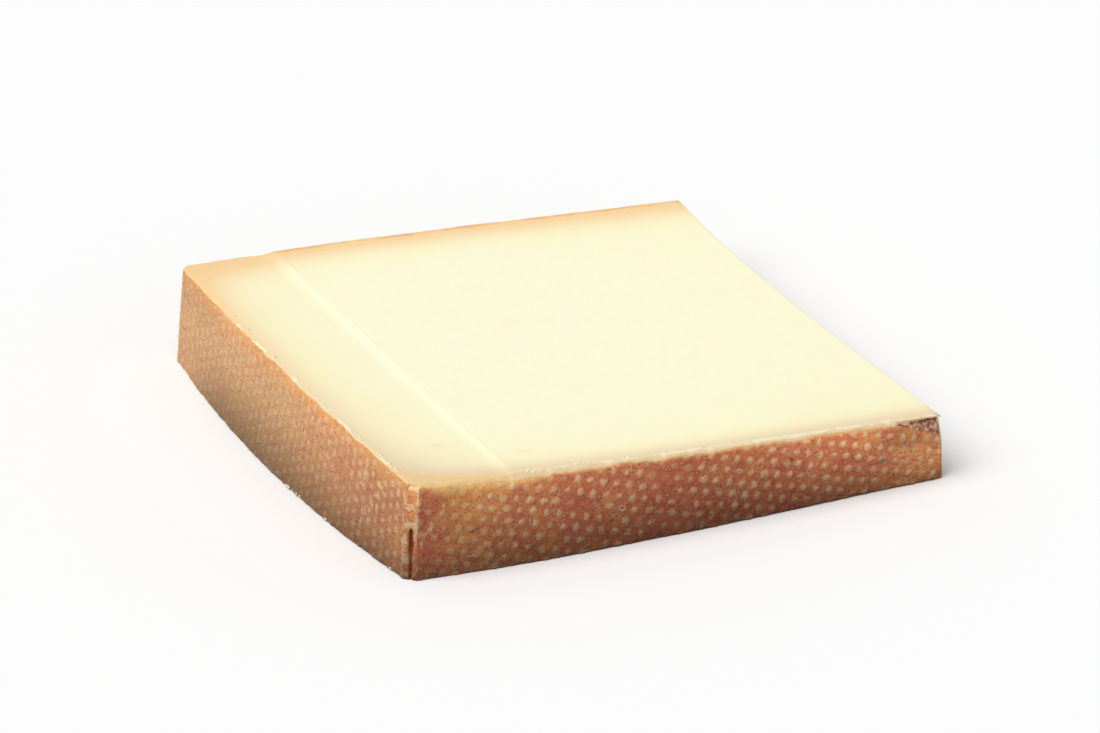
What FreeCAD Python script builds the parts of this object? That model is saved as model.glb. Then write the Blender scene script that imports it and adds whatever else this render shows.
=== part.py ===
import FreeCAD, Part
import math
import os

# A retail slice of Gruyère, cut radially from the outer part of a wheel and lying on one knife cut.
#
# Working frame, in millimetres: X runs from the heel (the wheel's side wall) to the nose,
# Y from the front to the back flat face of the wheel, and Z up from the lower knife cut.
# X = 0 is the heel's front rim at the base and Y = 0 is halfway between the flat faces.
# The finished solid is moved so that its origin is the centre of its bounding box's bottom.
#
# Where a size has two values in brackets, they belong to the two ends that its comment names.

NODE = "gruyere_slice"

# The slice
SLICE_LENGTH = 110.0           # heel to the nose's front corner, along the base
SLICE_WIDTH = 110.0            # between the flat faces, which is the wheel's height
FRONT_RIM = (0.0, 0.7)         # X of the heel's front rim, at the base and the top
BACK_RIM = (-0.6, 0.9)         # X of its back rim
NOSE_SKEW = 0.5                # the nose's back corner is this much shorter
NOSE_LEAN = 0.05               # run towards the heel for each millimetre of height

# Heights of the upper knife cut above the base, at the front and the back
HEEL_HEIGHT = (18.9, 19.3)
NOSE_HEIGHT = (13.0, 14.8)

# Rims where the wheel's side wall meets its flat faces
FRONT_BEVEL = 1.7
BACK_RIM_RADIUS = 2.5

# Each side bulges as a curve with two inner poles. A pair holds how far the poles are pulled out,
# from front to back along the heel and the nose, and from heel to nose along the flat faces.
# The sides bulge more along the base, where the cheese has spread, than along the top.
HEEL_PULL_BASE = (5.3, 4.6)
HEEL_PULL_TOP = (1.1, 1.3)
FRONT_PULL_BASE = (4.1, 0.9)
FRONT_PULL_TOP = (1.7, 0.9)
BACK_PULL_BASE = (4.1, 1.3)
BACK_PULL_TOP = (2.7, 0.3)
NOSE_HOLLOW = (1.2, 3.9)       # pulled in: the blade bowed away from the cheese

# The knife was set down twice. The second stroke left a low step right across.
STEP_AT = 21.6                 # X of the step's middle
STEP_WIDTH = (1.0, 2.4)        # at the front and the back
STEP_RISE = 0.3

# The pocket where a flake of rind broke away, at the front of the nose. Pairs run to the nose.
POCKET_LENGTH = 9.9
POCKET_LIP = 0.35              # paste left above the pocket
POCKET_DROP = (0.9, 4.4)
POCKET_DEPTH = (0.5, 1.3)

# The crack in the front rim of the heel
CRACK_HEIGHT = 10.5
CRACK_WIDTH = 0.9
CRACK_DEPTH = 1.2

# Bites that the knife tore out of the rind's upper edge
BITE_RADIUS = 2.4
BITE_DEPTH = 0.35
FRONT_BITES = 6
HEEL_BITES = 5
BITE_STRIDE = 0.618            # each bite lies this share of the edge past the one before

CLEAR = 5.0                    # how far cutting tools reach past the slice
FRONT = -SLICE_WIDTH / 2
BACK = SLICE_WIDTH / 2
SHOULDER = max(HEEL_HEIGHT + NOSE_HEIGHT)     # height of the upper outline


def vector(x, y, z):
    return FreeCAD.Vector(x, y, z)


def between(ends, share):
    """The value at this share of the way between two ends, or beyond them."""
    return ends[0] + (ends[1] - ends[0]) * share


def bulge(pull, share):
    """How far a side stands out at this share of its length."""
    rest = 1 - share
    return 3 * rest * share * (rest * pull[0] + share * pull[1])


def line(start, end):
    return Part.LineSegment(start, end).toShape()


def bowed(start, end, outwards, pull):
    """A side from start to end, its two inner poles pulled outwards."""
    inner = [between((start, end), (k + 1) / 3) + outwards * pull[k] for k in (0, 1)]
    curve = Part.BezierCurve()
    curve.setPoles([start, *inner, end])
    return curve.toShape()


def polygon(corners):
    return Part.makePolygon(corners + corners[:1])


def heel_rims(z):
    """X of the heel's front and back rim at height z."""
    return between(FRONT_RIM, z / SHOULDER), between(BACK_RIM, z / SHOULDER)


def outline(z, heel_pull, front_pull, back_pull):
    """The slice's outline at height z, left long past the nose."""
    front_rim, back_rim = heel_rims(z)
    front_start = vector(front_rim + FRONT_BEVEL, FRONT, z)
    front_end = vector(SLICE_LENGTH, FRONT, z)
    heel_front = vector(front_rim, FRONT + FRONT_BEVEL, z)
    heel_back = vector(back_rim, BACK - BACK_RIM_RADIUS, z)
    back_start = vector(back_rim + BACK_RIM_RADIUS, BACK, z)
    back_end = vector(SLICE_LENGTH, BACK, z)
    rim_inset = BACK_RIM_RADIUS * (1 - math.sqrt(0.5))
    rim_middle = vector(back_rim + rim_inset, BACK - rim_inset, z)
    past_nose = vector(CLEAR, 0, 0)
    edges = [
        line(front_start, heel_front),
        bowed(heel_front, heel_back, vector(-1, 0, 0), heel_pull),
        Part.Arc(heel_back, rim_middle, back_start).toShape(),
        bowed(back_start, back_end, vector(0, 1, 0), back_pull),
        line(back_end, back_end + past_nose),
        line(back_end + past_nose, front_end + past_nose),
        line(front_end + past_nose, front_end),
        bowed(front_end, front_start, vector(0, -1, 0), front_pull[::-1]),
    ]
    return Part.Wire(edges)


def rough_slice():
    """The piece between the lower knife cut and the shoulder, before the upper cut and the nose's."""
    base = outline(0, HEEL_PULL_BASE, FRONT_PULL_BASE, BACK_PULL_BASE)
    top = outline(SHOULDER, HEEL_PULL_TOP, FRONT_PULL_TOP, BACK_PULL_TOP)
    return Part.makeLoft([base, top], True, True)


def upper_cut_points(y):
    """The ends of the two knife strokes at y, with both strokes run on past the slice."""
    across = (y - FRONT) / SLICE_WIDTH
    heel = between(HEEL_HEIGHT, across)
    nose = between(NOSE_HEIGHT, across)
    half_step = between(STEP_WIDTH, across) / 2
    level = between((heel, nose), STEP_AT / SLICE_LENGTH)
    foot = vector(STEP_AT - half_step, y, level - STEP_RISE / 2)
    head = vector(STEP_AT + half_step, y, level + STEP_RISE / 2)
    start = vector(-2 * CLEAR, y, between((heel, foot.z), -2 * CLEAR / foot.x))
    growth = (SLICE_LENGTH + CLEAR - head.x) / (SLICE_LENGTH - head.x)
    end = vector(SLICE_LENGTH + CLEAR, y, between((head.z, nose), growth))
    return start, foot, head, end


def upper_section(y):
    """Section at y of what the knife took off the top: two strokes joined by an S-shaped step."""
    start, foot, head, end = upper_cut_points(y)
    reach = (head.x - foot.x) / 2
    step = Part.BezierCurve()
    along_first = (foot - start).normalize() * reach
    along_second = (end - head).normalize() * reach
    step.setPoles([foot, foot + along_first, head - along_second, head])
    ceiling = SHOULDER + 2 * CLEAR
    end_above = vector(end.x, y, ceiling)
    start_above = vector(start.x, y, ceiling)
    edges = [
        line(start, foot),
        step.toShape(),
        line(head, end),
        line(end, end_above),
        line(end_above, start_above),
        line(start_above, start),
    ]
    return Part.Wire(edges)


def upper_offcut():
    """What lies above the upper knife cut, ruled from front to back so that the cut may twist."""
    return Part.makeLoft([upper_section(FRONT - CLEAR), upper_section(BACK + CLEAR)], True, True)


def nose_offcut():
    """What lies past the nose: a hollow cut that leans towards the heel."""
    below = vector(NOSE_LEAN * CLEAR, 0, -CLEAR)
    front = vector(SLICE_LENGTH, FRONT, 0) + below
    back = vector(SLICE_LENGTH - NOSE_SKEW, BACK, 0) + below
    front_out = front - vector(0, CLEAR, 0)
    back_out = back + vector(0, CLEAR, 0)
    far = vector(3 * CLEAR, 0, 0)
    edges = [
        line(front_out, front),
        bowed(front, back, vector(-1, 0, 0), NOSE_HOLLOW),
        line(back, back_out),
        line(back_out, back_out + far),
        line(back_out + far, front_out + far),
        line(front_out + far, front_out),
    ]
    height = SHOULDER + 2 * CLEAR
    return Part.Face(Part.Wire(edges)).extrude(vector(-NOSE_LEAN * height, 0, height))


def top_height(x, y):
    """Height of the upper cut at a point clear of the step."""
    start, foot, head, end = upper_cut_points(y)
    first, last = (start, foot) if x < STEP_AT else (head, end)
    return between((first.z, last.z), (x - first.x) / (last.x - first.x))


def front_face(x):
    """Y of the front flat face at x, along its upper edge."""
    start = heel_rims(SHOULDER)[0] + FRONT_BEVEL
    return FRONT - bulge(FRONT_PULL_TOP, (x - start) / (SLICE_LENGTH - start))


def heel_face(y):
    """X of the heel at y, along its upper edge."""
    start = FRONT + FRONT_BEVEL
    share = (y - start) / (BACK - BACK_RIM_RADIUS - start)
    return between(heel_rims(SHOULDER), share) - bulge(HEEL_PULL_TOP, share)


def pocket_section(x, drop, depth):
    """A wedge at x, deepest under the lip and running out at the rind's face."""
    face = front_face(min(x, SLICE_LENGTH))
    top = top_height(x, FRONT) - POCKET_LIP
    low = top - drop * (depth + CLEAR) / depth
    return polygon(
        [
            vector(x, face + depth, top),
            vector(x, face - CLEAR, top),
            vector(x, face - CLEAR, low),
        ]
    )


def broken_pocket():
    """The broken-rind pocket, which widens and deepens towards the nose."""
    growth = (POCKET_LENGTH + CLEAR) / POCKET_LENGTH
    start = pocket_section(SLICE_LENGTH - POCKET_LENGTH, POCKET_DROP[0], POCKET_DEPTH[0])
    end = pocket_section(
        SLICE_LENGTH + CLEAR, between(POCKET_DROP, growth), between(POCKET_DEPTH, growth)
    )
    return Part.makeLoft([start, end], True, True)


def crack_section(z, width, depth):
    """A V across the middle of the front bevel at height z, its point turned into the cheese."""
    inwards = vector(1, 1, 0).normalize()
    sideways = vector(1, -1, 0).normalize()
    middle = vector(heel_rims(z)[0] + FRONT_BEVEL / 2, FRONT + FRONT_BEVEL / 2, z)
    mouth = middle - inwards * CLEAR
    side = sideways * (width / 2 * (depth + CLEAR) / depth)
    return polygon([middle + inwards * depth, mouth + side, mouth - side])


def rim_crack():
    """The crack, closing as it climbs the rim from the base."""
    base = crack_section(-CLEAR, CRACK_WIDTH, CRACK_DEPTH)
    top = crack_section(CRACK_HEIGHT, CRACK_WIDTH / 4, CRACK_DEPTH / 4)
    return Part.makeLoft([base, top], True, True)


def bite(x, y, outwards):
    """A ball that takes a shallow bite from the upper edge at this point."""
    stand_off = (outwards + vector(0, 0, 1)).normalize() * (BITE_RADIUS - BITE_DEPTH)
    return Part.makeSphere(BITE_RADIUS, vector(x, y, top_height(x, y)) + stand_off)


def edge_bites():
    """Bites spread unevenly along the upper edges of the front and the heel."""
    front_span = (STEP_AT + STEP_WIDTH[0] + BITE_RADIUS, SLICE_LENGTH - POCKET_LENGTH - BITE_RADIUS)
    heel_span = (FRONT + FRONT_BEVEL + BITE_RADIUS, BACK - BACK_RIM_RADIUS - BITE_RADIUS)
    along_front = [between(front_span, k * BITE_STRIDE % 1) for k in range(1, FRONT_BITES + 1)]
    along_heel = [between(heel_span, k * BITE_STRIDE % 1) for k in range(1, HEEL_BITES + 1)]
    front_bites = [bite(x, front_face(x), vector(0, -1, 0)) for x in along_front]
    heel_bites = [bite(heel_face(y), y, vector(-1, 0, 0)) for y in along_heel]
    return front_bites + heel_bites


def gruyere_slice():
    """The slice as cut: the rough piece less what the knife, the break, the crack and the bites took."""
    tools = [upper_offcut(), nose_offcut(), broken_pocket(), rim_crack()]
    return rough_slice().cut(tools + edge_bites()).Solids[0]


def at_origin(solid):
    """The solid moved so that its origin is the centre of its bounding box's bottom."""
    box = solid.optimalBoundingBox(False, False)
    return solid.translated(vector(-box.Center.x, -box.Center.y, -box.ZMin))


os.makedirs("parts", exist_ok=True)
at_origin(gruyere_slice()).exportStep(f"parts/{NODE}.step")
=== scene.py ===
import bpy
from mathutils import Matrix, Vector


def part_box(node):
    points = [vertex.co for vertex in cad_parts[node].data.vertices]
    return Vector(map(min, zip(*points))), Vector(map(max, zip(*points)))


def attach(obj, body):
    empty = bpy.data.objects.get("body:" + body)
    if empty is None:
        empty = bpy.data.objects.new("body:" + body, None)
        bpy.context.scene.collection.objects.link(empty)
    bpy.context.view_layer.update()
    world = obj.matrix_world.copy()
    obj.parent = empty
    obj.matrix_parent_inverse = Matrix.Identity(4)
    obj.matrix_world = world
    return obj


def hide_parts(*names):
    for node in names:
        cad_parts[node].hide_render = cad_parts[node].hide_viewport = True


bl_info = {
    "name": "Gruyere Slice",
    "version": (1, 0, 0),
    "blender": (4, 5, 0),
    "location": "3D View > Sidebar > Cheese",
    "description": "Builds a slice of gruyere, with its dotted rind, on the packed frame",
    "category": "Add Mesh",
}

import itertools
import math

import bpy
import numpy as np
from mathutils import Matrix, Vector

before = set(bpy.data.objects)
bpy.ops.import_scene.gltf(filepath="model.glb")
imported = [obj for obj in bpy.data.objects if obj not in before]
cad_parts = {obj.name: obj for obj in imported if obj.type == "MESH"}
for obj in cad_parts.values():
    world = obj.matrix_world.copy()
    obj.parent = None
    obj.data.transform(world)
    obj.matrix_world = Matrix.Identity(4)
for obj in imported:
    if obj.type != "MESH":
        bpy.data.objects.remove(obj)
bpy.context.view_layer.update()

NODE = "gruyere_slice"
BODY = "root"
MM = 0.001

# The working frame, in millimetres: X runs from the heel (the wheel's side wall) to the nose,
# Y from the front to the back flat face, and Z up. X = 0 is the heel's front rim at the base.
FRONT_SIDE, NOSE_SIDE, BACK_SIDE, RIM_SIDE, HEEL_SIDE, BEVEL_SIDE = range(6)
CUT_FACE = -1                  # the upper cut and the base


# ---------------------------------------------------------------------------------------------
# Small sums on whole arrays


def between(ends, share):
    """The value at this share of the way between two ends."""
    return ends[0] + (ends[1] - ends[0]) * share


def bulge(pull, share):
    """How far a side with two pulled poles stands out at this share of its length."""
    rest = 1 - share
    return 3 * rest * share * (rest * pull[0] + share * pull[1])


def ramp(low, high, value):
    """0 up to low and 1 from high on, straight between them."""
    return np.clip((value - low) / (high - low), 0, 1)


def ease(low, high, value):
    """0 up to low and 1 from high on, with a smooth rise between them."""
    share = ramp(low, high, value)
    return share * share * (3 - 2 * share)


def mound(distance):
    """1 at distance 0, falling smoothly to 0 at distance 1 and beyond."""
    return np.clip(1 - distance * distance, 0, 1) ** 1.5


def spot(first, second, middle, reach):
    """A mound round a middle, its reach given along each of two directions."""
    return mound(np.hypot((first - middle[0]) / reach[0], (second - middle[1]) / reach[1]))


TABLE = 4096                                  # how many random values a noise picks from
CELL_PRIMES = (73856093, 19349663, 83492791)
DOT_PRIMES = (7919, 104729)


def picked(cells, primes):
    """Where in a random table each cell looks: its numbers times primes, mixed bit by bit."""
    mixed = [cells[..., k] * prime for k, prime in enumerate(primes)]
    return np.bitwise_xor.reduce(mixed) & (TABLE - 1)


def grain(points, size, seed):
    """Smooth noise from -1 to 1: random values at the corners of cubes of a size, eased between."""
    table = np.random.default_rng(seed).uniform(-1, 1, TABLE)
    scaled = points / size
    cell = np.floor(scaled).astype(np.int64)
    part = ease(0, 1, scaled - cell)
    total = np.zeros(points.shape[:-1])
    for corner in itertools.product((0, 1), repeat=3):
        corner = np.array(corner)
        weight = np.where(corner == 1, part, 1 - part).prod(axis=-1)
        total += table[picked(cell + corner, CELL_PRIMES)] * weight
    return total


def rough(points, size, seed):
    """Three layers of grain, each half the size and half the height of the one before."""
    layers = [grain(points, size / 2**k, seed + k) / 2**k for k in range(3)]
    return sum(layers) / 1.5


def crossed(grid):
    """Unit normals of a grid that closes along its second axis: the cross of its two runs."""
    around = np.roll(grid, -1, axis=1) - np.roll(grid, 1, axis=1)
    along = np.gradient(grid, axis=0)
    normal = np.cross(around, along)
    return normal / np.maximum(np.linalg.norm(normal, axis=-1, keepdims=True), 1e-9)


# ---------------------------------------------------------------------------------------------
# Sizes and colours that a user would change


def number(default, name, description, **more):
    """A plain number."""
    return bpy.props.FloatProperty(name=name, description=description, default=default, **more)


def numbers(default, name, description, **more):
    """Several numbers in one."""
    return bpy.props.FloatVectorProperty(
        name=name, description=description, default=default, size=len(default), **more
    )


def length(default, name, description):
    """A size in metres, given in millimetres."""
    return number(default * MM, name, description, unit="LENGTH", precision=5)


def pair(default, name, description):
    """Two sizes in metres, given in millimetres."""
    return numbers([size * MM for size in default], name, description, unit="LENGTH", precision=5)


def colour(red, green, blue, name, description):
    """A colour, given as it looks on a screen, from 0 to 255."""
    return numbers(linear(red, green, blue)[:3], name, description, min=0, max=1, subtype="COLOR")


def linear(red, green, blue):
    """A screen colour as the shader needs it, with full alpha."""
    shares = [value / 255 for value in (red, green, blue)]
    return [s / 12.92 if s <= 0.04045 else ((s + 0.055) / 1.055) ** 2.4 for s in shares] + [1.0]


class CheeseForm(bpy.types.PropertyGroup):
    """Sizes of the slice. Pairs run from front to back, or from heel to nose, as each name says."""

    slice_length: length(110, "Length", "Heel to nose along the base")
    slice_width: length(110, "Width", "Between the wheel's two flat faces")
    front_rim: pair((0.0, 0.7), "Front rim", "X of the heel's front rim, base and top")
    back_rim: pair((-0.6, 0.9), "Back rim", "X of the heel's back rim, base and top")
    nose_skew: length(0.5, "Nose skew", "How much shorter the nose's back corner is")
    nose_lean: number(0.05, "Nose lean", "Run towards the heel for each unit of height")
    heel_height: pair((18.9, 19.3), "Heel height", "Height at the heel, front and back")
    nose_height: pair((13.0, 14.8), "Nose height", "Height at the nose, front and back")
    front_bevel: length(1.7, "Front bevel", "Bevel of the heel's front rim")
    back_rim_radius: length(2.5, "Back rim radius", "Radius of the heel's back rim")
    heel_pull_base: pair((5.3, 4.6), "Heel base", "Bulge of the heel's base, front and back")
    heel_pull_top: pair((1.1, 1.3), "Heel top", "Bulge of the heel's top, front and back")
    front_pull_base: pair((4.1, 0.9), "Front base", "Bulge of the front's base, heel and nose")
    front_pull_top: pair((1.7, 0.9), "Front top", "Bulge of the front's top, heel and nose")
    back_pull_base: pair((4.1, 1.3), "Back base", "Bulge of the back's base, heel and nose")
    back_pull_top: pair((2.7, 0.3), "Back top", "Bulge of the back's top, heel and nose")
    nose_hollow: pair((1.2, 3.9), "Nose hollow", "Hollow of the nose, front and back")
    step_at: length(21.6, "Step place", "Where the second stroke of the knife began")
    step_width: pair((2.0, 3.4), "Step width", "Width of the step, front and back")
    step_rise: length(0.2, "Step rise", "Rise of the step")
    pocket_length: length(9.9, "Pocket length", "Length of the pocket in the rind by the nose")
    pocket_lip: length(0.35, "Pocket lip", "Paste left above the pocket")
    pocket_drop: pair((0.9, 4.4), "Pocket drop", "Height of the pocket, inner end and nose")
    pocket_depth: pair((0.5, 1.3), "Pocket depth", "Depth of the pocket, inner end and nose")


class CheeseRind(bpy.types.PropertyGroup):
    """Sizes of what stands out from the rind or is torn from it."""

    nub_radius: length(0.80, "Nub radius", "Radius of a nub")
    nub_height: length(0.22, "Nub height", "How far a nub stands out")
    torn_edge: length(0.70, "Torn edge", "Paste bared below the front's upper edge")
    skin_step: length(0.12, "Skin thickness", "Thickness of skin torn away at that edge")
    torn_slope: number(0.6, "Torn slope", "Run inwards for each unit of bared height")
    crack_height: length(10.5, "Crack height", "How far the crack climbs the front rim")
    crack_width: length(1.05, "Crack width", "Width of the crack at the base")
    crack_depth: length(1.2, "Crack depth", "Depth of the crack at the base")
    top_round: length(0.28, "Upper edge", "Rounding of the upper edge")
    base_round: length(0.45, "Lower edge", "Rounding of the lower edge")


class CheeseColours(bpy.types.PropertyGroup):
    """Colours of the paste and the rind."""

    heart: colour(253, 250, 217, "Heart", "Paste in the middle of the slice")
    ivory: colour(253, 246, 206, "Ivory", "Paste around the middle")
    cream: colour(251, 238, 194, "Cream", "Paste towards the rind")
    crust: colour(232, 212, 173, "Under the rind", "Paste right under the rind")
    crust_back: colour(247, 208, 150, "Under the back rind", "The same towards the back face")
    amber: colour(230, 186, 112, "Amber", "Stained paste at the corner of the heel")
    toast: colour(222, 160, 96, "Cut rind", "Rind where the knife went through it")
    pale: colour(250, 240, 214, "Crushed paste", "Paste crushed and dried by the knife")
    rind: colour(203, 117, 80, "Rind", "Skin of the rind between the nubs")
    brick: colour(182, 86, 60, "Brick skin", "Redder, smoother skin")
    ochre: colour(216, 144, 80, "Ochre skin", "Yellower, rubbed skin")
    tan: colour(203, 160, 113, "Tan skin", "Drier skin of the heel")
    nub: colour(222, 182, 138, "Nubs", "Tops of the nubs")
    bloom: colour(228, 196, 150, "Bloom", "Chalky bloom and clumps on the skin")
    crack: colour(146, 70, 52, "Crack", "Inside of the crack and of the pores")
    hollow: colour(132, 76, 62, "Pocket", "Inside of the pocket")
    chalk: colour(222, 184, 160, "Clumps in the pocket", "Clumps inside the pocket")
    # Pits and specks, and also the painted shadow under the pocket's lip.
    mark: colour(76, 42, 34, "Marks", "Pits and specks")


# ---------------------------------------------------------------------------------------------
# The form of the slice, in millimetres


STEP_EASE = (-1, 0.1)          # where the first stroke gives way, in widths of the step before it
POCKET_END = 1.1               # how far past the nose the pocket still grows, in its own lengths


class Cut:
    """The sizes of a property group in millimetres, by name; plain numbers stay as they are."""

    def __init__(self, group):
        for key, info in group.bl_rna.properties.items():
            if key in ("rna_type", "name"):
                continue
            value = getattr(group, key)
            scale = 1 / MM if info.unit == "LENGTH" else 1
            value = tuple(v * scale for v in value) if info.is_array else value * scale
            setattr(self, key, value)


class CutForm(Cut):
    """The smooth form that the wheel and the knife gave the slice, as functions of whole arrays."""

    def __init__(self, group):
        super().__init__(group)
        self.front = -self.slice_width / 2
        self.back = self.slice_width / 2
        self.shoulder = max(self.heel_height + self.nose_height)

    def pulls(self, base, top, z):
        """A side's pulls at height z, ruled from base to shoulder."""
        up = z / self.shoulder
        return between((base[0], top[0]), up), between((base[1], top[1]), up)

    def rims(self, z):
        """X of the heel's front and back rim at height z."""
        up = z / self.shoulder
        return between(self.front_rim, up), between(self.back_rim, up)

    def front_y(self, x, z):
        """Y of the front flat face: its plane less the bulge at x."""
        start = self.rims(z)[0] + self.front_bevel
        share = ramp(start, self.slice_length, x)
        return self.front - bulge(self.pulls(self.front_pull_base, self.front_pull_top, z), share)

    def back_y(self, x, z):
        """Y of the back flat face: its plane plus the bulge at x."""
        start = self.rims(z)[1] + self.back_rim_radius
        share = ramp(start, self.slice_length, x)
        return self.back + bulge(self.pulls(self.back_pull_base, self.back_pull_top, z), share)

    def heel_x(self, y, z):
        """X of the heel: the line between its rims less the bulge at y."""
        start, end = self.front + self.front_bevel, self.back - self.back_rim_radius
        share = ramp(start, end, y)
        line = between(self.rims(z), share)
        return line - bulge(self.pulls(self.heel_pull_base, self.heel_pull_top, z), share)

    def nose_x(self, y, z):
        """X of the nose: a hollow curve from front to back that leans towards the heel."""
        share = ramp(self.front, self.back, y)
        lean = self.nose_lean * z
        return self.slice_length - self.nose_skew * share - bulge(self.nose_hollow, share) - lean

    def top_z(self, x, y):
        """Height of the upper cut: two straight strokes, eased into each other before the step."""
        across = (y - self.front) / self.slice_width
        heel, nose = between(self.heel_height, across), between(self.nose_height, across)
        width = between(self.step_width, across)
        level = between((heel, nose), self.step_at / self.slice_length)
        foot, head = level - self.step_rise / 2, level + self.step_rise / 2
        first = between((heel, foot), x / (self.step_at - width))
        second = between((head, nose), (x - self.step_at) / (self.slice_length - self.step_at))
        return between((first, second), ease(*STEP_EASE, (x - self.step_at) / width))

    def pocket(self, x, z):
        """Depth of the broken pocket: deepest under its lip, running out at its foot."""
        share = (x - self.slice_length + self.pocket_length) / self.pocket_length
        share = np.minimum(share, POCKET_END)
        below = self.top_z(x, self.front + 0 * x) - self.pocket_lip - z
        depth = between(self.pocket_depth, share) * (1 - below / between(self.pocket_drop, share))
        inside = (share > 0) & (below > 0)
        return np.where(inside, np.maximum(depth, 0), 0)

    def side_point(self, side, share, z):
        """X and Y on one side of the slice at height z; its share runs anticlockwise, 0 to 1."""
        rim_front, rim_back = self.rims(z)
        if side == FRONT_SIDE:
            start = rim_front + self.front_bevel
            tip = self.slice_length - self.nose_lean * z
            corner = self.front_y(tip, z) + self.pocket(tip, z)
            x = between((start, self.nose_x(corner, z)), share)
            return x, self.front_y(x, z) + self.pocket(x, z)
        if side == NOSE_SIDE:
            start = self.side_point(FRONT_SIDE, 1.0, z)[1]
            end = self.side_point(BACK_SIDE, 0.0, z)[1]
            y = between((start, end), share)
            return self.nose_x(y, z), y
        if side == BACK_SIDE:
            tip = self.slice_length - self.nose_skew - self.nose_lean * z
            x = between((tip, rim_back + self.back_rim_radius), share)
            return x, self.back_y(x, z)
        if side == RIM_SIDE:
            turn = math.pi / 2 * (1 + share)
            x = rim_back + self.back_rim_radius * (1 + np.cos(turn))
            return x, self.back - self.back_rim_radius * (1 - np.sin(turn)) + 0 * z
        if side == HEEL_SIDE:
            ends = self.back - self.back_rim_radius, self.front + self.front_bevel
            y = between(ends, share) + 0 * z
            return self.heel_x(y, z), y
        x = rim_front + self.front_bevel * share
        return x, self.front + self.front_bevel * (1 - share) + 0 * z


# Cells of the cap grids from heel to nose and from front to back. Each side of the slice has
# FINE times as many columns, so that the nubs are finely drawn and the caps stay light.
CAP_CELLS = (104, 100)
FINE = 3
BEVEL_COLUMNS = 20
RIM_COLUMNS = 16
WALL_ROWS = 44
CAP_MARGIN = 0.022             # the fine ring's share of each cap
GRID_MARGIN = 1.35             # the cap grid starts this many margins in
BASE_STEPS = (1.0, 0.55)       # rows of the ring under the slice, in shares of its margin
TOP_STEPS = (0.3, 0.52, 0.76, 1.0)
EDGE_ROWS = 4                  # rows round the lower and the upper edge
STEP_CROWD = (1.8, 2.4)        # how many more columns stand near the step, and how far that reaches


class Ring:
    """The columns once round the slice, anticlockwise from the corner of bevel and front."""

    def __init__(self, form):
        along, across = (FINE * cells for cells in CAP_CELLS)
        half_rim = RIM_COLUMNS // 2
        runs = [
            (FRONT_SIDE, self.crowded(form, along)),
            (NOSE_SIDE, np.linspace(0, 1, across + 1)),
            (BACK_SIDE, 1 - self.crowded(form, along - half_rim)[::-1]),
            (RIM_SIDE, np.linspace(0, 1, RIM_COLUMNS + 1)),
            (HEEL_SIDE, np.linspace(0, 1, across - half_rim - BEVEL_COLUMNS + 1)),
            (BEVEL_SIDE, np.linspace(0, 1, BEVEL_COLUMNS + 1)),
        ]
        self.form = form
        self.side = np.concatenate([np.full(len(shares) - 1, side) for side, shares in runs])
        self.share = np.concatenate([shares[:-1] for side, shares in runs])
        self.corners = (0, along, along + across, 2 * along + across)
        self.count = len(self.side)

    @staticmethod
    def crowded(form, count):
        """Shares from 0 to 1 that crowd round the step: the inverse of a summed density."""
        fine = np.linspace(0, 1, 2001)
        away = (fine * form.slice_length - form.step_at) / STEP_CROWD[1]
        summed = np.cumsum(1 + STEP_CROWD[0] * np.exp(-away * away))
        summed = (summed - summed[0]) / (summed[-1] - summed[0])
        return np.interp(np.linspace(0, 1, count + 1), summed, fine)

    def at(self, z):
        """Points of every column at heights z, one row of heights for each row of points."""
        z = np.broadcast_to(z, (np.shape(z)[0], self.count))
        x, y = np.empty(z.shape), np.empty(z.shape)
        for side in range(6):
            here = self.side == side
            x[:, here], y[:, here] = self.form.side_point(side, self.share[here], z[:, here])
        return np.stack([x, y, z], axis=-1)

    def top(self):
        """Height of the upper edge at every column, found by walking up to the cut."""
        z = np.full((1, self.count), self.form.nose_height[0])
        for _ in range(4):
            edge = self.at(z)
            z = self.form.top_z(edge[..., 0], edge[..., 1])
        return z


def patch(outline, corners, a, b):
    """Points of a four-sided patch at shares a (heel to nose) and b (front to back).

    The sum of two blends of opposite sides, less the blend of the four corners.
    """
    one, two, three = corners[1:]
    closed = np.concatenate([outline, outline[:1]])[:, :2]

    def side(start, end, share):
        steps = np.arange(start, end + 1)
        at = start + share * (end - start)
        return np.stack([np.interp(at, steps, closed[steps, k]) for k in (0, 1)], axis=-1)

    low, high = side(0, one, a), side(two, three, 1 - a)
    left, right = side(three, len(outline), 1 - b), side(one, two, b)
    a, b = a[..., None], b[..., None]
    blends = (1 - b) * low + b * high + (1 - a) * left + a * right
    ends = (1 - a) * (1 - b) * closed[0] + a * (1 - b) * closed[one]
    ends = ends + a * b * closed[two] + (1 - a) * b * closed[three]
    return blends - ends


def square_walk(corners, count, margin):
    """Shares (a, b) of each column on the edge of a patch drawn in by a margin all round."""
    place = np.arange(count, dtype=float)
    knots = list(corners) + [count]
    a = np.interp(place, knots, [0, 1, 1, 0, 0])
    b = np.interp(place, knots, [0, 0, 1, 1, 0])
    return margin + (1 - 2 * margin) * a, margin + (1 - 2 * margin) * b


# ---------------------------------------------------------------------------------------------
# The nubs: the wheel's skin is printed with a slanted lattice of dots

# One dot's place along the wall and up it, then the two steps from dot to dot, in millimetres
FRONT_LATTICE = ((84.4, 7.7), (2.63, -0.73), (0.56, -2.53))
HEEL_LATTICE = ((-45.0, 15.5), (2.6, 1.17), (0.05, 2.37))
BACK_LATTICE = ((30.0, 8.0), (2.63, 0.73), (-0.56, -2.53))

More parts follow.
